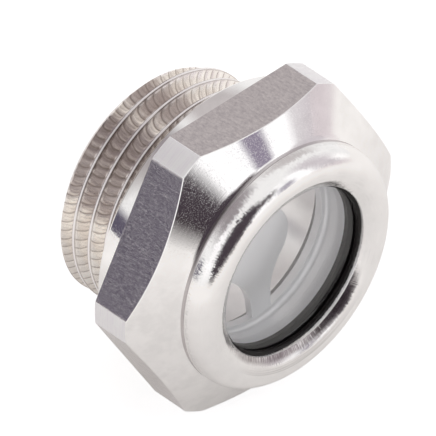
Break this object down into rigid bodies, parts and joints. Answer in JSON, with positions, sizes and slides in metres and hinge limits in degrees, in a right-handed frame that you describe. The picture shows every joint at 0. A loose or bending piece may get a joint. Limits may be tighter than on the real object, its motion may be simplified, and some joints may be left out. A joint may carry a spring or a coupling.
{
  "type": "oil level sight glass",
  "caption": "Screw-in oil level sight glass: hexagon body with parallel pipe thread, glass disc held by a rolled lip between seals, pressed reflector behind it",
  "frame": {"origin": "on the thread's axis, in the plane of the seat that meets the housing", "axes": "+Y along the thread into the housing, the window looks along -Y; +Z is the outward normal of the top flat; +X follows by the right-hand rule"},
  "size_m": [0.03, 0.0181, 0.027],
  "materials": {
    "body": "turned and milled, bright",
    "reflector": "pale lacquer",
    "glass": "clear, polished",
    "seal": "matt black"
  },
  "bodies": {
    "root": {"body": "body", "reflector": "reflector", "rear_seal": "seal", "glass": "glass", "front_seal": "seal"}
  },
  "joints": []
}
